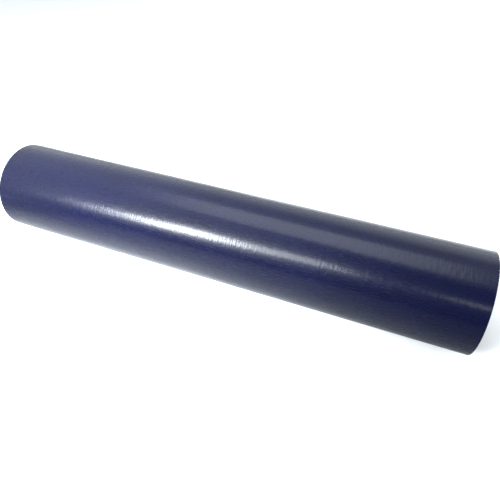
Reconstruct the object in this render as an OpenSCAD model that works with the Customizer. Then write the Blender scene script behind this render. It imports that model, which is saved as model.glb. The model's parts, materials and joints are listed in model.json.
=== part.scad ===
// Roll of self-adhesive sign vinyl on a paperboard core.
// The roll's axis lies along X. Y points to the back, Z points up, and the origin is the centre of the core's bore.
// Angles round the roll start at +Y and turn towards +Z, so 90 is the top and 0 is the back.

/* [Roll] */
// Width of the vinyl web, which is the length of the roll
web_w = 610; // [300:10:1370]
// Outside diameter of the roll
roll_d = 117; // [105:0.5:180]

/* [Core] */
// Inside diameter of the paperboard core
bore_d = 76.2; // [50.8:0.1:78]
// Whole thickness of the core's wall
core_wall = 5; // [3:0.5:6]
// Thickness of the smooth paper ply that lines the bore, and of the one outside
skin_ply_t = 0.5; // [0.4:0.1:1]

/* [Outermost turn and tail] */
// Thickness of one sheet of the outermost turn
sheet_t = 0.5; // [0.4:0.05:0.8]
// Clearance under each sheet that lifts
sheet_gap = 0.15; // [0.13:0.01:0.3]
// Angle round the roll of the line that the tail bends at
tail_root_angle = 30; // [25:1:45]
// Angle that the free tail covers
tail_sweep = 60; // [55:1:80]
// Angle round the roll of the line that the film peels from
peel_line_angle = 14; // [2:1:20]
// Gap along the surface between a lifting sheet and its neighbour
edge_gap = 0.4; // [0.3:0.1:1]

/* [Tail tapes] */
// Width of one strip of removable tape
tape_w = 25; // [12:1:50]
// Length of one strip round the roll
tape_l = 50; // [30:1:70]
// Thickness of the tape
tape_t = 0.13; // [0.1:0.01:0.3]
// Distance between neighbouring strips
tape_pitch = 230; // [60:10:600]

/* [Core start tape and label] */
// Width round the core of the tape that starts the web
start_tape_w = 25; // [12:1:50]
// Thickness of the start tape
start_tape_t = 0.4; // [0.3:0.05:0.6]
// Length of the blank label along the bore
label_l = 60; // [30:1:90]
// Width of the label round the bore
label_w = 40; // [20:1:60]
// Distance from the right end of the core to the label
label_inset = 15; // [5:1:60]

/* [Hidden] */
$fn = 180;
roll_r = roll_d / 2;
bore_r = bore_d / 2;
core_r = bore_r + core_wall;
// The outermost turn holds two sheets, the liner and the film, each with its clearance
film_inner_r = roll_r - sheet_t;
liner_outer_r = film_inner_r - sheet_gap;
liner_inner_r = liner_outer_r - sheet_t;
wound_r = liner_inner_r - sheet_gap;
tail_end_angle = tail_root_angle - tail_sweep;
tape_clear = 0.05;
start_tape_angle = 200;
start_tape_clear = 0.05;
label_angle = 250;
label_clear = 0.1;
ring_overlap = 1;

// Angle in degrees of an arc of length l at radius r
function arc_angle(l, r) = l / r * 180 / PI;

// Ring along X, centred on the origin
module ring(inner_r, outer_r, l) {
    rotate([0, 90, 0])
        difference() {
            cylinder(r = outer_r, h = l, center = true);
            cylinder(r = inner_r, h = l + 2 * ring_overlap, center = true);
        }
}

// Curved sheet about the X axis, from angle a0 to a1, centred at x
module arc_sheet(inner_r, outer_r, a0, a1, l, x = 0) {
    translate([x, 0, 0])
        rotate([90, 0, 90])
            rotate([0, 0, a0])
                rotate_extrude(angle = a1 - a0)
                    translate([inner_r, -l / 2])
                        square([outer_r - inner_r, l]);
}

// Label's space in the lining ply, grown by a clearance on every edge
module label_shape(clear) {
    half_angle = arc_angle(label_w / 2 + clear, bore_r);
    arc_sheet(bore_r - clear, bore_r + skin_ply_t + clear,
        label_angle - half_angle, label_angle + half_angle,
        label_l + 2 * clear, web_w / 2 - label_inset - label_l / 2);
}

module core_inner_ply() {
    color("wheat")
        difference() {
            ring(bore_r, bore_r + skin_ply_t, web_w);
            label_shape(label_clear);
        }
}

module core_body_plies() {
    color("tan")
        ring(bore_r + skin_ply_t, core_r - skin_ply_t, web_w);
}

module core_outer_ply() {
    color("burlywood")
        ring(core_r - skin_ply_t, core_r, web_w);
}

module core_label() {
    half_angle = arc_angle(label_w / 2, bore_r);
    color("whitesmoke")
        arc_sheet(bore_r, bore_r + skin_ply_t,
            label_angle - half_angle, label_angle + half_angle,
            label_l, web_w / 2 - label_inset - label_l / 2);
}

// Curved strip on the core under the first turn
module start_tape_shape(clear) {
    half_angle = arc_angle(start_tape_w / 2 + clear, core_r);
    arc_sheet(core_r - clear, core_r + start_tape_t + clear,
        start_tape_angle - half_angle, start_tape_angle + half_angle,
        web_w + 2 * clear);
}

module core_start_tape() {
    half_angle = arc_angle(start_tape_w / 2, core_r);
    color("gainsboro")
        arc_sheet(core_r, core_r + start_tape_t,
            start_tape_angle - half_angle, start_tape_angle + half_angle, web_w);
}

// All turns of film and liner below the outermost one
module wound_turns() {
    color([0.17, 0.18, 0.36])
        difference() {
            ring(core_r, wound_r, web_w);
            start_tape_shape(start_tape_clear);
        }
}

// Part of the outermost turn that stays on the roll
module fixed_sheet(inner_r, outer_r) {
    gap_angle = arc_angle(edge_gap, roll_r);
    arc_sheet(inner_r, outer_r, tail_root_angle + gap_angle, 360 + tail_end_angle - gap_angle, web_w);
}

module outer_turn_liner() {
    color("white")
        fixed_sheet(wound_r, liner_outer_r + sheet_gap);
}

module outer_turn_film() {
    color([0.13, 0.13, 0.33])
        fixed_sheet(film_inner_r, roll_r);
}

module tail_liner() {
    color("ghostwhite")
        arc_sheet(liner_inner_r, liner_outer_r, tail_end_angle, tail_root_angle, web_w);
}

// Film of the tail above the peel line, which stays on the liner
module tail_film_root() {
    gap_angle = arc_angle(edge_gap, roll_r);
    color([0.16, 0.16, 0.4])
        arc_sheet(film_inner_r, roll_r, peel_line_angle + gap_angle, tail_root_angle, web_w);
}

// Film of the tail below the peel line, which peels off the liner
module tail_film() {
    color([0.2, 0.2, 0.45])
        arc_sheet(film_inner_r, roll_r, tail_end_angle, peel_line_angle, web_w);
}

// One strip of removable tape across the tail's free edge
module tape_strip(x) {
    half_angle = arc_angle(tape_l / 2, roll_r);
    inner_r = roll_r + tape_clear;
    color("cornsilk")
        arc_sheet(inner_r, inner_r + tape_t,
            tail_end_angle - half_angle, tail_end_angle + half_angle, tape_w, x);
}

module tape_left() {
    tape_strip(-tape_pitch);
}

module tape_middle() {
    tape_strip(0);
}

module tape_right() {
    tape_strip(tape_pitch);
}

core_inner_ply();
core_body_plies();
core_outer_ply();
core_label();
core_start_tape();
wound_turns();
outer_turn_liner();
outer_turn_film();
tail_liner();
tail_film_root();
tail_film();
tape_left();
tape_middle();
tape_right();
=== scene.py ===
"""Looks of a roll of navy sign vinyl. Its axis is X, and the camera looks down at it from the front."""

import json
from math import asin, atan2, cos, pi, radians, sin

import bpy
from mathutils import Matrix, Vector, noise

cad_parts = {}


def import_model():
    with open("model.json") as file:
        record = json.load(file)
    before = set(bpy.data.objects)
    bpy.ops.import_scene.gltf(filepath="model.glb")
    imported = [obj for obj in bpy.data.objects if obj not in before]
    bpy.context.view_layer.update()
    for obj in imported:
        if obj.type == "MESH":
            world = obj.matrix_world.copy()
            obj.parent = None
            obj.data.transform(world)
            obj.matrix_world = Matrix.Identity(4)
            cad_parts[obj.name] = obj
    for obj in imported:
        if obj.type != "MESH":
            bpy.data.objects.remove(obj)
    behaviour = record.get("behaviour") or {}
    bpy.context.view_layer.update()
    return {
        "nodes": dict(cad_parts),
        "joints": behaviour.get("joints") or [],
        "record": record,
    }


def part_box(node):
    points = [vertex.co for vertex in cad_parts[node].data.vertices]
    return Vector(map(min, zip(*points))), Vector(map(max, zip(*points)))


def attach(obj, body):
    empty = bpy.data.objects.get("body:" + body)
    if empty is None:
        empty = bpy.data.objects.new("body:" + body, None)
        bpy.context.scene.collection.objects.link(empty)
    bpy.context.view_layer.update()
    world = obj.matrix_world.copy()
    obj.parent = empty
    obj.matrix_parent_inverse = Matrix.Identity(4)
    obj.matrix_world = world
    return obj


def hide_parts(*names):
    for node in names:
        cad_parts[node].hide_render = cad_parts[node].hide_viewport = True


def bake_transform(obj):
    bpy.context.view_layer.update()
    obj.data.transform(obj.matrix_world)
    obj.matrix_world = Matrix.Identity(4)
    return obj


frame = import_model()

# ---------------------------------------------------------------- sizes in metres, angles in radians
MM = 0.001
FILM_T = 0.085 * MM
LINER_T = 0.13 * MM
TURN_T = FILM_T + LINER_T
SKIN_GAP = 0.01 * MM
PACK_CLEARANCE = 0.1 * MM
SHARP_ANGLE = radians(35)

joints = {joint["name"]: joint for joint in frame["joints"]}
mounts = {mount["name"]: mount for mount in frame["record"]["mounts"]}

ROLL_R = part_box("outer_turn_film")[1].z
HALF_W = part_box("outer_turn_film")[1].x
CORE_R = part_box("core_outer_ply")[1].z
BORE_R = mounts["core_bore"]["dims"]["r_mm"] * MM
FLOOR_Z = -ROLL_R


def hinge_angle(name):
    """Angle round the roll of a joint's line."""
    pos = joints[name]["pos_m"]
    return atan2(pos[2], pos[1])


TAIL_END = asin(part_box("tail_film")[0].z / ROLL_R)
ROOT_TURN = hinge_angle("tail_lift") - TAIL_END
PEEL_TURN = hinge_angle("film_peel") - TAIL_END
FULL_TURN = 2 * pi


# ---------------------------------------------------------------- mesh helpers
def on_roll(x, angle, r):
    return Vector((x, r * cos(angle), r * sin(angle)))


def web_radius(turn):
    """Radius of the film's face at an angle turned back from the free edge, on the web's spiral."""
    return ROLL_R - TURN_T * turn / FULL_TURN


def undulation(x, turn):
    """Slow unevenness of the wound surface, a few hundredths of a millimetre."""
    slow = noise.noise(Vector((x * 14, turn * 1.1, 3.7)))
    fast = noise.noise(Vector((x * 46, turn * 2.3, 9.1)))
    return (0.05 * slow + 0.018 * fast - 0.04) * MM


def steps(a, b, count):
    return [a + (b - a) * i / count for i in range(count + 1)]


def new_object(name, verts, faces, materials, uvs=None):
    mesh = bpy.data.meshes.new(name)
    mesh.from_pydata(verts, [], faces)
    if uvs:
        layer = mesh.uv_layers.new(name="web_uv")
        for loop in mesh.loops:
            layer.data[loop.index].uv = uvs[loop.vertex_index]
    for material in materials:
        mesh.materials.append(material)
    mesh.validate()
    mesh.shade_smooth()
    mesh.set_sharp_from_angle(angle=SHARP_ANGLE)
    obj = bpy.data.objects.new(name, mesh)
    bpy.context.scene.collection.objects.link(obj)
    return obj


def closed_sheet(name, rows, cols, outer, inner, uv, materials, inner_slot=0):
    """A thin closed sheet on a grid. outer(i, j) and inner(i, j) give its two faces, uv(i, j) its place."""
    wide = cols + 1
    count = (rows + 1) * wide
    grid = [(i, j) for i in range(rows + 1) for j in range(wide)]
    verts = [outer(i, j) for i, j in grid] + [inner(i, j) for i, j in grid]
    uvs = [uv(i, j) for i, j in grid] * 2
    faces, slots = [], []
    for i in range(rows):
        for j in range(cols):
            a = i * wide + j
            faces.append((a, a + wide, a + wide + 1, a + 1))
            slots.append(0)
            b = a + count
            faces.append((b, b + 1, b + wide + 1, b + wide))
            slots.append(inner_slot)
    rim = [i * wide for i in range(rows)] + [rows * wide + j for j in range(cols)]
    rim += [i * wide + cols for i in range(rows, 0, -1)] + list(range(cols, 0, -1))
    for a, b in zip(rim, rim[1:] + rim[:1]):
        faces.append((b, a, a + count, b + count))
        slots.append(0)
    obj = new_object(name, verts, faces, materials, uvs)
    obj.data.polygons.foreach_set("material_index", slots)
    return obj


def wound_sheet(name, turn0, turn1, depth, thickness, rows, cols, materials, rests_on,
                inner_slot=0, shape=None):
    """A sheet on the web's spiral between two turn angles, at a depth below the film's face."""
    turns = steps(turn0, turn1, rows)
    places = steps(-HALF_W, HALF_W, cols)

    def face(i, j, below):
        x, turn = places[j], turns[i]
        lift = shape(x, turn) if shape else 0
        r = web_radius(turn) + undulation(x, turn) - below + lift
        return on_roll(x, TAIL_END + turn, r)

    obj = closed_sheet(
        name, rows, cols,
        lambda i, j: face(i, j, depth),
        lambda i, j: face(i, j, depth + thickness),
        lambda i, j: (places[j], turns[i] * ROLL_R),
        materials, inner_slot)
    return obj


# ---------------------------------------------------------------- material helpers
class Nodes:
    """Short calls for building one material's node tree."""

    def __init__(self, name):
        self.material = bpy.data.materials.new(name)
        self.material.use_nodes = True
        self.tree = self.material.node_tree
        self.shader = self.tree.nodes["Principled BSDF"]

    @classmethod
    def of_tree(cls, tree):
        made = cls.__new__(cls)
        made.tree = tree
        return made

    def add(self, kind, inputs=None, **settings):
        made = self.tree.nodes.new("ShaderNode" + kind)
        for key, value in settings.items():
            setattr(made, key, value)
        for key, value in (inputs or {}).items():
            self.put(made.inputs[key], value)
        return made

    def put(self, socket, value):
        if isinstance(value, bpy.types.NodeSocket):
            self.tree.links.new(value, socket)
        else:
            socket.default_value = value

    def math(self, operation, *values):
        return self.add("Math", dict(enumerate(values)), operation=operation).outputs[0]

    def vector(self, x, y, z=0.0):
        return self.add("CombineXYZ", {"X": x, "Y": y, "Z": z}).outputs[0]

    def noise(self, vector, scale, detail=3.0, rough=0.5):
        made = self.add("TexNoise", {"Vector": vector, "Scale": scale, "Detail": detail, "Roughness": rough})
        return made.outputs["Fac"]

    def stretched_noise(self, x, arc, per_x, per_arc, detail=3.0, rough=0.5):
        """Noise on the web with its own number of cells a metre along X and round the roll."""
        place = self.vector(self.math("MULTIPLY", x, per_x), self.math("MULTIPLY", arc, per_arc))
        return self.noise(place, 1.0, detail, rough)

    def ramp(self, value, *stops):
        """Colour ramp with stops of (position, grey or colour)."""
        made = self.add("ValToRGB", {"Fac": value})
        elements = made.color_ramp.elements
        while len(elements) < len(stops):
            elements.new(0.5)
        for element, (position, colour) in zip(elements, stops):
            element.position = position
            element.color = (colour, colour, colour, 1) if isinstance(colour, (int, float)) else (*colour, 1)
        return made.outputs["Color"]

    def mix(self, factor, a, b):
        made = self.add("Mix", data_type="RGBA")
        for socket, value in zip((made.inputs[0], made.inputs[6], made.inputs[7]), (factor, a, b)):
            if isinstance(value, tuple):
                value = (*value, 1)
            self.put(socket, value)
        return made.outputs[2]

    def bump(self, height, distance, strength=1.0, normal=None):
        made = self.add("Bump", {"Height": height, "Distance": distance, "Strength": strength})
        if normal is not None:
            self.put(made.inputs["Normal"], normal)
        return made.outputs["Normal"]

    def set(self, **values):
        for key, value in values.items():
            if isinstance(value, tuple):
                value = (*value, 1)
            self.put(self.shader.inputs[key.replace("_", " ")], value)
        return self.material


def round_axis(n, place):
    """Y, Z and the distance from the roll's axis."""
    xyz = n.add("SeparateXYZ", {0: place})
    y, z = xyz.outputs[1], xyz.outputs[2]
    radius = n.math("SQRT", n.math("ADD", n.math("MULTIPLY", y, y), n.math("MULTIPLY", z, z)))
    return y, z, radius


# ---------------------------------------------------------------- materials
NAVY = (0.0042, 0.0056, 0.0262)
NAVY_DEEP = (0.0034, 0.0045, 0.0213)
RIPPLE_H = 0.17 * MM
PLY_T = 0.5 * MM
SEAM_PITCH = 145 * MM
RULE_HALF_PITCH = 3 * MM
HEAD_BAND_FROM = 56 * MM


def vinyl_film():
    """Glossy calendered film: ripples and slow bands that run round the roll, grain and faint scuffs."""
    n = Nodes("navy_vinyl")
    place = n.add("UVMap", uv_map="web_uv").outputs[0]
    xyz = n.add("SeparateXYZ", {0: place})
    x, arc = xyz.outputs[0], xyz.outputs[1]
    # Fine ripples run round the roll: each is short along X and long round the arc
    ripple = n.stretched_noise(x, arc, 420.0, 80.0, 1.0)
    band = n.stretched_noise(x, arc, 60.0, 9.0, 2.0)
    grain = n.noise(place, 2600.0, 2.0)
    tone = n.stretched_noise(x, arc, 9.0, 4.0, 4.0)
    colour = n.mix(n.ramp(tone, (0.35, 0.0), (0.65, 1.0)), NAVY_DEEP, NAVY)
    scuff = n.stretched_noise(x, arc, 90.0, 700.0)
    roughness = n.math("MULTIPLY_ADD", n.ramp(scuff, (0.55, 0.0), (0.8, 1.0)), 0.08, 0.26)
    normal = n.bump(band, 0.12 * MM, 1.0, n.bump(ripple, RIPPLE_H, 1.0, n.bump(grain, 0.004 * MM)))
    return n.set(Base_Color=colour, Roughness=roughness, IOR=1.42, Coat_Weight=0.4, Coat_Roughness=0.12,
                 Coat_IOR=1.42, Coat_Normal=n.bump(ripple, RIPPLE_H), Normal=normal)


def film_adhesive():
    """Back of the film: clear acrylic adhesive, which takes the liner's fine texture."""
    n = Nodes("film_adhesive")
    place = n.add("UVMap", uv_map="web_uv").outputs[0]
    grain = n.noise(place, 1500.0, 3.0)
    patch = n.noise(place, 60.0, 4.0)
    colour = n.mix(n.ramp(patch, (0.35, 0.0), (0.7, 1.0)), (0.05, 0.055, 0.15), (0.085, 0.09, 0.2))
    roughness = n.math("MULTIPLY_ADD", grain, 0.25, 0.28)
    return n.set(Base_Color=colour, Roughness=roughness, Normal=n.bump(grain, 0.03 * MM))


def release_liner():
    """Silicone-coated paper: smooth, off white, with a faint paper cloud."""
    n = Nodes("release_liner")
    place = n.add("UVMap", uv_map="web_uv").outputs[0]
    cloud = n.noise(place, 240.0, 6.0, 0.6)
    colour = n.mix(n.ramp(cloud, (0.3, 0.0), (0.7, 1.0)), (0.74, 0.735, 0.7), (0.84, 0.835, 0.81))
    roughness = n.math("MULTIPLY_ADD", cloud, 0.25, 0.3)
    return n.set(Base_Color=colour, Roughness=roughness, Normal=n.bump(cloud, 0.03 * MM))


def wound_edges():
    """Cut end of the wound web: the liner's pale edge and the film's navy edge, turn after turn."""
    n = Nodes("wound_edges")
    y, z, radius = round_axis(n, n.add("TexCoord").outputs["Object"])
    angle = n.math("ARCTAN2", z, y)
    turns = n.math("DIVIDE", radius, TURN_T)
    spiral = n.math("FRACT", n.math("ADD", turns, n.math("DIVIDE", angle, FULL_TURN)))
    film_share = FILM_T / TURN_T
    layer = n.ramp(spiral, (0.0, 0.0), (0.08, 1.0), (1 - film_share, 1.0), (1 - film_share + 0.08, 0.0))
    # Noise that is long round the ring and short across it: the unit direction round the axis, and the radius
    round_y, round_z = n.math("DIVIDE", y, radius), n.math("DIVIDE", z, radius)

    def ring_noise(per_metre, round_share, detail):
        across = n.math("MULTIPLY", radius, per_metre)
        around = [n.math("MULTIPLY", part, round_share) for part in (round_y, round_z)]
        return n.noise(n.vector(across, *around), 1.0, detail)

    ring = ring_noise(1300.0, 0.5, 3.0)
    proud = ring_noise(420.0, 0.25, 2.0)
    smear = ring_noise(120.0, 1.6, 4.0)
    liner = n.mix(n.ramp(ring, (0.38, 0.0), (0.62, 1.0)), (0.17, 0.185, 0.29), (0.52, 0.53, 0.57))
    film = n.mix(smear, (0.012, 0.015, 0.07), (0.05, 0.055, 0.17))
    colour = n.mix(layer, film, liner)
    colour = n.mix(n.ramp(proud, (0.5, 0.0), (0.6, 0.6)), colour, (0.025, 0.03, 0.12))
    normal = n.bump(layer, 0.02 * MM, 0.6)
    normal = n.bump(ring, 0.1 * MM, 0.8, normal)
    return n.set(Base_Color=colour, Roughness=n.math("MULTIPLY_ADD", ring, 0.2, 0.5), Normal=normal)


def core_end_layers(n, place):
    """Rings of the plies seen on the core's cut end, from 0 at a glue line to 0.5 in mid ply."""
    radius = round_axis(n, place)[2]
    wander = n.noise(place, 30.0, 2.0)
    ply = n.math("ADD", n.math("DIVIDE", radius, PLY_T), n.math("MULTIPLY", wander, 1.2))
    return n.math("PINGPONG", ply, 0.5)


def core_board():
    """Grey-brown chipboard with its plies showing on the cut ends."""
    n = Nodes("core_board")
    place = n.add("TexCoord").outputs["Object"]
    ply = core_end_layers(n, place)
    fibre = n.noise(place, 900.0, 6.0, 0.7)
    fleck = n.noise(place, 260.0, 3.0)
    colour = n.mix(n.ramp(fibre, (0.3, 0.0), (0.7, 1.0)), (0.2, 0.14, 0.085), (0.36, 0.27, 0.175))
    colour = n.mix(n.ramp(ply, (0.0, 0.75), (0.12, 0.0)), colour, (0.11, 0.075, 0.045))
    colour = n.mix(n.ramp(fleck, (0.66, 0.0), (0.72, 0.6)), colour, (0.5, 0.42, 0.32))
    normal = n.bump(fibre, 0.12 * MM)
    normal = n.bump(ply, 0.15 * MM, 0.8, normal)
    return n.set(Base_Color=colour, Roughness=n.math("MULTIPLY_ADD", fibre, 0.15, 0.78), Normal=normal)


def core_paper():
    """Smooth kraft ply with the spiral seam where its edges meet, and small fibres."""
    n = Nodes("core_paper")
    place = n.add("TexCoord").outputs["Object"]
    xyz = n.add("SeparateXYZ", {0: place})
    angle = n.math("ARCTAN2", xyz.outputs[2], xyz.outputs[1])
    seam = n.math("ADD", n.math("DIVIDE", xyz.outputs[0], SEAM_PITCH), n.math("DIVIDE", angle, FULL_TURN))
    seam = n.math("PINGPONG", seam, 0.5)
    groove = n.ramp(seam, (0.0, 0.0), (0.006, 1.0))
    cloud = n.noise(place, 70.0, 5.0)
    fibre = n.noise(place, 1100.0, 5.0, 0.7)
    colour = n.mix(cloud, (0.36, 0.25, 0.145), (0.5, 0.37, 0.235))
    colour = n.mix(n.ramp(fibre, (0.3, 0.5), (0.6, 0.0)), colour, (0.3, 0.2, 0.11))
    colour = n.mix(groove, (0.13, 0.085, 0.05), colour)
    normal = n.bump(fibre, 0.04 * MM)
    normal = n.bump(groove, 0.3 * MM, 1.0, normal)
    return n.set(Base_Color=colour, Roughness=n.math("MULTIPLY_ADD", cloud, 0.15, 0.62), Normal=normal)


def label_paper():
    """Blank white label with a navy head band and ruled lines, with no lettering."""
    n = Nodes("label_paper")
    place = n.add("UVMap", uv_map="web_uv").outputs[0]
    xyz = n.add("SeparateXYZ", {0: place})
    fibre = n.noise(place, 1500.0, 5.0)
    paper = n.mix(fibre, (0.72, 0.72, 0.7), (0.82, 0.82, 0.8))
    line = n.math("PINGPONG", xyz.outputs[1], RULE_HALF_PITCH)
    rules = n.ramp(n.math("DIVIDE", line, RULE_HALF_PITCH), (0.0, 1.0), (0.06, 0.0))
    colour = n.mix(n.math("MULTIPLY", rules, 0.55), paper, (0.12, 0.13, 0.2))
    head = n.math("GREATER_THAN", xyz.outputs[0], HEAD_BAND_FROM)
    colour = n.mix(head, colour, (0.03, 0.04, 0.16))
    roughness = n.math("MULTIPLY_ADD", fibre, 0.15, 0.5)
    return n.set(Base_Color=colour, Roughness=roughness, Normal=n.bump(fibre, 0.02 * MM))


def transfer_tape():
    """Thin double-sided tape: pale, slightly yellow and semi-gloss."""
    n = Nodes("transfer_tape")
    place = n.add("TexCoord").outputs["Object"]
    cloud = n.noise(place, 300.0, 4.0)
    colour = n.mix(cloud, (0.6, 0.58, 0.5), (0.7, 0.69, 0.62))
    roughness = n.math("MULTIPLY_ADD", cloud, 0.2, 0.25)
    return n.set(Base_Color=colour, Roughness=roughness, Normal=n.bump(cloud, 0.03 * MM))


def crepe_tape():
    """Creped masking tape: fine wrinkles across its length, slightly mottled."""
    n = Nodes("crepe_tape")
    place = n.add("UVMap", uv_map="web_uv").outputs[0]
    xyz = n.add("SeparateXYZ", {0: place})
    x, arc = xyz.outputs[0], xyz.outputs[1]
    fine = n.stretched_noise(x, arc, 260.0, 1900.0, 3.0, 0.6)
    coarse = n.stretched_noise(x, arc, 90.0, 620.0, 2.0)
    mottle = n.noise(place, 130.0, 5.0, 0.6)
    colour = n.mix(n.ramp(fine, (0.3, 0.0), (0.7, 1.0)), (0.44, 0.35, 0.2), (0.74, 0.66, 0.47))
    colour = n.mix(n.ramp(coarse, (0.35, 0.45), (0.6, 0.0)), colour, (0.4, 0.33, 0.2))
    colour = n.mix(n.ramp(mottle, (0.45, 0.0), (0.7, 0.4)), colour, (0.62, 0.5, 0.31))
    normal = n.bump(coarse, 0.2 * MM, 0.8, n.bump(fine, 0.12 * MM))
    return n.set(Base_Color=colour, Roughness=n.math("MULTIPLY_ADD", mottle, 0.2, 0.55), Normal=normal)


film = vinyl_film()
adhesive = film_adhesive()
liner = release_liner()
edges = wound_edges()


# ---------------------------------------------------------------- core
def paint_node(name, material):
    for material_slot in frame["nodes"][name].material_slots:
        material_slot.material = material


board, paper = core_board(), core_paper()
paint_node("core_body_plies", board)
paint_node("core_inner_ply", paper)
paint_node("core_outer_ply", paper)
paint_node("core_start_tape", transfer_tape())


# ---------------------------------------------------------------- wound turns
PACK_RINGS = 142
PACK_STEPS = 180
PACK_COLS = 16


def end_offset(side, share, angle):
    """How far a ring of the cut end stands out: slow waves, and a little from turn to turn."""
    slow = noise.noise(Vector((share * 2.6, side * 5.0, 1.3)))
    near = noise.noise(Vector((share * 40.0, side * 3.0, cos(angle) * 0.4)))
    return (0.22 * slow + 0.09 * near - 0.12) * MM


def wound_turns():
    """All the turns under the outermost one, as one closed ring with a stepped spiral surface."""
    rings = steps(0, 1, PACK_RINGS)
    columns = steps(-1, 1, PACK_COLS)[1:-1]
    profile = [(-1, share) for share in rings]
    profile += [(column, 1.0) for column in columns]
    profile += [(1, share) for share in reversed(rings)]
    verts = []
    for turn in steps(FULL_TURN, 2 * FULL_TURN, PACK_STEPS):
        top = web_radius(turn) - PACK_CLEARANCE
        angle = TAIL_END + turn
        for side, share in profile:
            r = CORE_R + (top - CORE_R) * share
            x = side * HALF_W
            if abs(side) == 1:
                x += side * end_offset(side, share, angle)
            verts.append(on_roll(x, angle, r))
    loop, rows = len(profile), PACK_STEPS + 1
    faces, slots = [], []
    for i in range(rows):
        a, b = i * loop, (i + 1) % rows * loop
        for k in range(loop):
            m = (k + 1) % loop
            faces.append((a + k, a + m, b + m, b + k))
            cut = k < PACK_RINGS or k >= loop - 1 - PACK_RINGS
            slots.append(1 if cut else 0)
    obj = new_object("wound_turns_roll", verts, faces, [film, edges])
    obj.data.polygons.foreach_set("material_index", slots)
    layer = obj.data.uv_layers.new(name="web_uv")
    for loop_corner in obj.data.loops:
        co = obj.data.vertices[loop_corner.vertex_index].co
        layer.data[loop_corner.index].uv = (co.x, atan2(co.z, co.y) * ROLL_R)
    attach(obj, "roll")
    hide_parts("wound_turns")


wound_turns()


# ---------------------------------------------------------------- outermost turn and tail
LINER_DEPTH = FILM_T + SKIN_GAP
LINER_SHEET_T = LINER_T - 2 * SKIN_GAP
RELIEF_TURN = radians(22)
TAPE_HOLD = 60 * MM
CORNER_W = 45 * MM
EDGE_RISE = 0.35 * MM
CORNER_RISE = 0.9 * MM
WAVE_RADIANS_PER_METRE = 41

TAPE_NODES = {"tape_left": "left_tape", "tape_middle": "middle_tape", "tape_right": "right_tape"}
tape_places = [(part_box(node)[0].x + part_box(node)[1].x) / 2 for node in TAPE_NODES]
TAPE_HALF_W = (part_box("tape_left")[1].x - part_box("tape_left")[0].x) / 2


def tail_relief(x, turn):
    """The free edge stands off a little between the tapes, and more at its two corners."""
    reach = max(0.0, 1 - turn / RELIEF_TURN) ** 2
    from_tape = min(abs(x - place) for place in tape_places)
    between = min(1.0, max(0.0, (from_tape - TAPE_HALF_W) / TAPE_HOLD))
    corner = max(0.0, (abs(x) - (HALF_W - CORNER_W)) / CORNER_W) ** 2
    wave = 0.75 + 0.25 * sin(x * WAVE_RADIANS_PER_METRE)
    return reach * (EDGE_RISE * between * wave + CORNER_RISE * corner)


def add_web_piece(obj, node):
    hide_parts(node)
    return obj


def outermost_turn():
    """The film and its liner from the tail's root round to the step under the free edge."""
    turn = (ROOT_TURN, FULL_TURN)
    skin = wound_sheet("outer_turn_film_sheet", *turn, 0, FILM_T, 220, 100, [film], "outer_turn_liner_sheet")
    backing = wound_sheet("outer_turn_liner_sheet", *turn, LINER_DEPTH, LINER_SHEET_T, 120, 60, [liner],
                          "wound_turns_roll")
    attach(add_web_piece(skin, "outer_turn_film"), "roll")
    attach(add_web_piece(backing, "outer_turn_liner"), "roll")


def tail():
    """The free tail: its liner, the film's root part up to the root line, and the film up to the peel line.
    """
    liner_sheet = wound_sheet("tail_liner_sheet", 0, ROOT_TURN, LINER_DEPTH, LINER_SHEET_T, 60, 100,
                              [liner], "wound_turns_roll", shape=tail_relief)
    root_sheet = wound_sheet("tail_film_root_sheet", PEEL_TURN, ROOT_TURN, 0, FILM_T, 20, 100,
                             [film, adhesive], "tail_liner_sheet", inner_slot=1, shape=tail_relief)
    film_sheet = wound_sheet("tail_film_sheet", 0, PEEL_TURN, 0, FILM_T, 50, 100,
                             [film, adhesive], "tail_liner_sheet", inner_slot=1, shape=tail_relief)
    add_web_piece(liner_sheet, "tail_liner")
    add_web_piece(root_sheet, "tail_film_root")
    add_web_piece(film_sheet, "tail_film")
    for sheet in (liner_sheet, root_sheet):
        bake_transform(sheet)
    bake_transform(film_sheet)


outermost_turn()
tail()


# ---------------------------------------------------------------- tapes
TAPE_T = 0.13 * MM
TAPE_LIFT = 0.05 * MM
TOOTH_W, TOOTH_DEPTH = 1.25 * MM, 0.45 * MM
EDGE_STEP = 2 * MM
CREASE_H = 0.03 * MM


def tape(node, body, material):
    """A strip of masking tape over the free edge, with pinked ends and its own small step at the edge."""
    low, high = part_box(node)
    hinge = hinge_angle(body + "_peel")
    length = 2 * (hinge - TAIL_END)
    low_angle = hinge - length
    rows, cols = 90, 40
    places = steps(low.x, high.x, cols)

    def turn_at(i, j):
        share = i / rows
        saw = abs(((places[j] - low.x) / TOOTH_W) % 1 - 0.5) * 2 * TOOTH_DEPTH / ROLL_R
        return low_angle + saw + (length - 2 * saw) * share

    def face(i, j, lift):
        angle = turn_at(i, j)
        past = (TAIL_END - angle) * ROLL_R / EDGE_STEP
        drop = min(1.0, max(0.0, past))
        drop = drop * drop * (3 - 2 * drop)
        crease = CREASE_H * noise.noise(Vector((places[j] * 300, angle * 60, 2.0)))
        r = ROLL_R + TAPE_LIFT + lift - TURN_T * drop + crease
        return on_roll(places[j], angle, r)

    obj = closed_sheet(
        node + "_strip", rows, cols,
        lambda i, j: face(i, j, TAPE_T), lambda i, j: face(i, j, 0),
        lambda i, j: (places[j], turn_at(i, j) * ROLL_R), [material])
    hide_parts(node)
    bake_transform(obj)


masking = crepe_tape()
for node_name, body_name in TAPE_NODES.items():
    tape(node_name, body_name, masking)


# ---------------------------------------------------------------- label in the bore
LABEL_ANGLE = radians(250)
LABEL_W = 40 * MM
LABEL_SUNK, LABEL_PROUD = 0.4 * MM, 0.06 * MM


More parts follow.
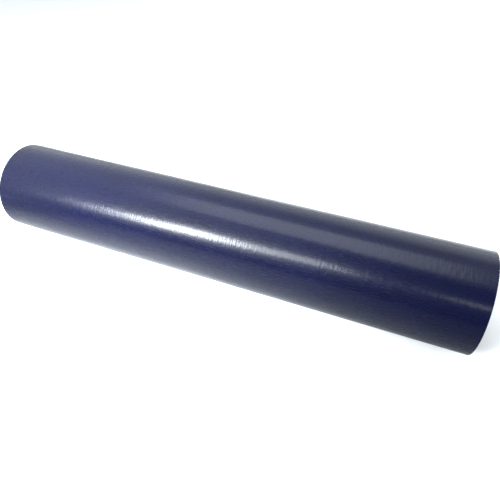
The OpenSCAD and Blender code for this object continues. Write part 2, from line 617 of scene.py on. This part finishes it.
def label():
    """The blank label in the core's bore, near its right end."""
    low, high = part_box("core_label")
    half = LABEL_W / 2 / BORE_R
    rows, cols = 40, 30
    angles = steps(LABEL_ANGLE - half, LABEL_ANGLE + half, rows)
    places = steps(low.x, high.x, cols)
    obj = closed_sheet(
        "core_label_sticker", rows, cols,
        lambda i, j: on_roll(places[j], angles[i], BORE_R + LABEL_SUNK),
        lambda i, j: on_roll(places[j], angles[i], BORE_R - LABEL_PROUD),
        lambda i, j: (places[j] - low.x, (angles[i] - angles[0]) * BORE_R), [label_paper()])
    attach(obj, "roll")
    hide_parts("core_label")


label()


# ---------------------------------------------------------------- floor, light and camera
ROLL_MIDDLE = (0, 0, 0)
WORLD_LEVEL = 1.1
BACKDROP = 0.86
# The floor's pale grey before its painted shade, for every ray but the camera's
FLOOR_IN_GLOSS = (0.74, 0.75, 0.77)
FLOOR_HALF_W = 6.0
DAYLIGHT = (0.94, 1.0, 1.03)
CAMERA_PLACE = Vector((3.231, -6.670, 6.459)) * ROLL_R
CAMERA_AROUND, CAMERA_UP = radians(21.55), radians(42.99)


def floor():
    """Plain pale paper. Only the camera sees it plain: to every other ray it has darker parts, painted shade
    that shapes what the roll's gloss reflects.
    """
    n = Nodes("floor_paper")
    place = n.add("TexCoord").outputs["Object"]
    cloud = n.noise(place, 3.0, 2.0)
    paper = n.mix(cloud, (0.9, 0.9, 0.905), (0.93, 0.93, 0.935))
    xyz = n.add("SeparateXYZ", {0: place})
    x, y = xyz.outputs[0], xyz.outputs[1]
    # Painted shade, seen in the roll's gloss: the floor darkens in front of the roll, and towards both of its
    # ends
    ahead = n.ramp(n.math("MULTIPLY", y, -1.0),
                   (0.0, 1.0), (0.03, 0.95), (0.055, 0.70), (0.09, 0.66), (0.16, 0.42), (0.4, 0.33))
    along = n.ramp(n.math("ADD", x, 0.5),
                   (0.1, 0.36), (0.2, 0.62), (0.3, 0.72), (0.45, 0.95), (0.6, 0.8), (0.8, 0.38))
    # The painted shade lifts again to the far left, beyond a slanted line, and anywhere behind the roll
    slant = n.math("MULTIPLY_ADD", y, -0.62, n.math("ADD", x, 1.0))
    far_left = n.ramp(slant, (0.52, 0.6), (0.64, 0.0))
    shade = n.math("MAXIMUM", n.math("MULTIPLY", ahead, along), far_left)
    behind = n.math("MULTIPLY", n.math("GREATER_THAN", y, 0.0), 0.7)
    # Painted shade: every ray but the camera's sees the pale grey darkened by the shade above, and the camera
    # sees the plain paper
    mirrored = n.mix(n.math("MAXIMUM", shade, behind), (0.0, 0.0, 0.0), FLOOR_IN_GLOSS)
    seen = n.add("LightPath").outputs["Is Camera Ray"]
    n.set(Base_Color=n.mix(seen, mirrored, paper), Roughness=0.7)
    corners = [(-1, -1), (1, -1), (1, 1), (-1, 1)]
    verts = [(side * FLOOR_HALF_W, depth * FLOOR_HALF_W, FLOOR_Z) for side, depth in corners]
    mesh = bpy.data.meshes.new("floor")
    mesh.from_pydata(verts, [], [(0, 1, 2, 3)])
    mesh.materials.append(n.material)
    obj = bpy.data.objects.new("floor", mesh)
    bpy.context.scene.collection.objects.link(obj)


def area_light(name, left, right, target, depth, watts, mirrored=True, spread=180):
    """A soft panel whose long side runs from left to right. A panel that isn't mirrored shows in no gloss."""
    left, right, target = Vector(left), Vector(right), Vector(target)
    middle = (left + right) / 2
    along = (right - left).normalized()
    back = (middle - target).normalized()
    across = back.cross(along).normalized()
    back = along.cross(across)
    data = bpy.data.lights.new(name, "AREA")
    data.shape = "RECTANGLE"
    data.size, data.size_y = (right - left).length, depth
    data.energy = watts
    data.spread = radians(spread)
    obj = bpy.data.objects.new(name, data)
    turn = Matrix((along, across, back)).transposed().to_4x4()
    obj.matrix_world = Matrix.Translation(middle) @ turn
    obj.visible_glossy = mirrored
    obj.visible_camera = False
    data.color = DAYLIGHT
    bpy.context.scene.collection.objects.link(obj)


def lights():
    """Panels by name, left end, right end, target, depth in metres and power in watts."""
    # Windows whose mirror images make the long streak, bright in its middle and faint at its right end
    area_light("streak_core", (-0.76, -1.06, 0.56), (-0.36, -0.97, 0.72), ROLL_MIDDLE, 0.28, 14.0)
    area_light("streak_long", (-0.98, -1.09, 0.51), (0.06, -0.93, 0.75), ROLL_MIDDLE, 0.26, 8.0)
    area_light("streak_end", (0.42, -0.96, 0.73), (0.74, -0.96, 0.73), ROLL_MIDDLE, 0.16, 0.4)
    # Ceiling panels that make the broad pale band along the top, weaker at its right end
    area_light("ceiling", (-0.86, 0.24, 1.6), (0.22, 0.24, 1.6), ROLL_MIDDLE, 0.95, 6.4)
    area_light("ceiling_end", (0.22, 0.24, 1.6), (0.52, 0.24, 1.6), ROLL_MIDDLE, 0.95, 1.2)
    # Fills that show in no gloss: over the whole scene, over the far floor, and from the front
    area_light("fill_top", (-2.1, 0.0, 1.9), (0.3, 0.0, 1.9), ROLL_MIDDLE, 2.4, 14, mirrored=False)
    area_light("fill_back", (-0.3, 1.65, 1.0), (0.9, 1.65, 1.0), (0.3, 1.65, FLOOR_Z), 0.5, 2.6,
               mirrored=False, spread=90)
    area_light("fill_front", (-1.4, -1.9, 0.9), (0.1, -1.9, 0.9), ROLL_MIDDLE, 0.8, 2, mirrored=False)
    # Narrower fills: on the right end's face, and on the roll's left half, where the film is paler
    area_light("fill_end", (1.2, 0.15, 0.3), (1.2, 0.95, 0.3), (HALF_W, 0, 0), 0.4, 5,
               mirrored=False, spread=70)
    area_light("fill_left", (-0.56, -0.47, 0.50), (0.02, -0.52, 0.50), (-0.10, 0, 0), 0.3, 4.3,
               mirrored=False, spread=75)


def world():
    """A pale room. In gloss it is bright above, behind and to the left, and dim in front and to the right."""
    made = bpy.data.worlds.new("studio")
    made.use_nodes = True
    n = Nodes.of_tree(made.node_tree)
    xyz = n.add("SeparateXYZ", {0: n.add("TexCoord").outputs["Generated"]})
    x, y, z = xyz.outputs[0], xyz.outputs[1], xyz.outputs[2]
    # From 0 at the horizon in front, over the top at 0.5, to 1 at the horizon behind
    over = n.math("DIVIDE", n.math("ARCTAN2", z, n.math("MULTIPLY", y, -1.0)), pi)
    high = n.ramp(over, (0.40, 0.02), (0.48, 1.0), (0.62, 1.0), (0.74, 0.8), (0.95, 1.0))
    leftward = n.math("MULTIPLY_ADD", x, -0.5, 0.5)
    left = n.ramp(leftward, (0.52, 0.0), (0.74, 1.0))
    far_left = n.ramp(leftward, (0.80, 0.0), (0.86, 1.0))
    far_left = n.math("MULTIPLY", far_left, n.ramp(over, (0.1, 0.75), (0.3, 0.3)))
    low_left = n.math("MULTIPLY", left, n.ramp(over, (0.02, 0.05), (0.12, 0.3), (0.3, 0.9)))
    low_back = n.math("MULTIPLY", n.ramp(over, (0.70, 0.0), (0.82, 1.0)), 0.95)
    side = n.math("MAXIMUM", n.math("MULTIPLY_ADD", left, 0.5, 0.5), low_back)
    level = n.math("MAXIMUM", n.math("MULTIPLY", high, side), n.math("MAXIMUM", low_left, far_left))
    # The camera sees a plain pale backdrop. The bright and dim sides are for every other ray
    seen = n.add("LightPath").outputs["Is Camera Ray"]
    room = n.math("MULTIPLY", level, WORLD_LEVEL)
    unseen_part = n.math("MULTIPLY", room, n.math("SUBTRACT", 1.0, seen))
    strength = n.math("ADD", unseen_part, n.math("MULTIPLY", seen, BACKDROP))
    background = made.node_tree.nodes["Background"]
    n.put(background.inputs["Strength"], strength)
    background.inputs["Color"].default_value = (*DAYLIGHT, 1)
    bpy.context.scene.world = made


def camera():
    """At the photograph's angle: 21.5 degrees round and 43 degrees up, with a wide lens close to the roll."""
    data = bpy.data.cameras.new("camera")
    data.sensor_width = 36
    data.lens = 32.4
    data.clip_start = 0.01
    obj = bpy.data.objects.new("camera", data)
    flat = cos(CAMERA_UP)
    back = Vector((sin(CAMERA_AROUND) * flat, -cos(CAMERA_AROUND) * flat, sin(CAMERA_UP)))
    obj.location = CAMERA_PLACE
    obj.rotation_euler = (-back).to_track_quat("-Z", "Y").to_euler()
    bpy.context.scene.collection.objects.link(obj)
    bpy.context.scene.camera = obj


floor()
world()
lights()
camera()
bpy.context.scene.view_settings.view_transform = "Standard"
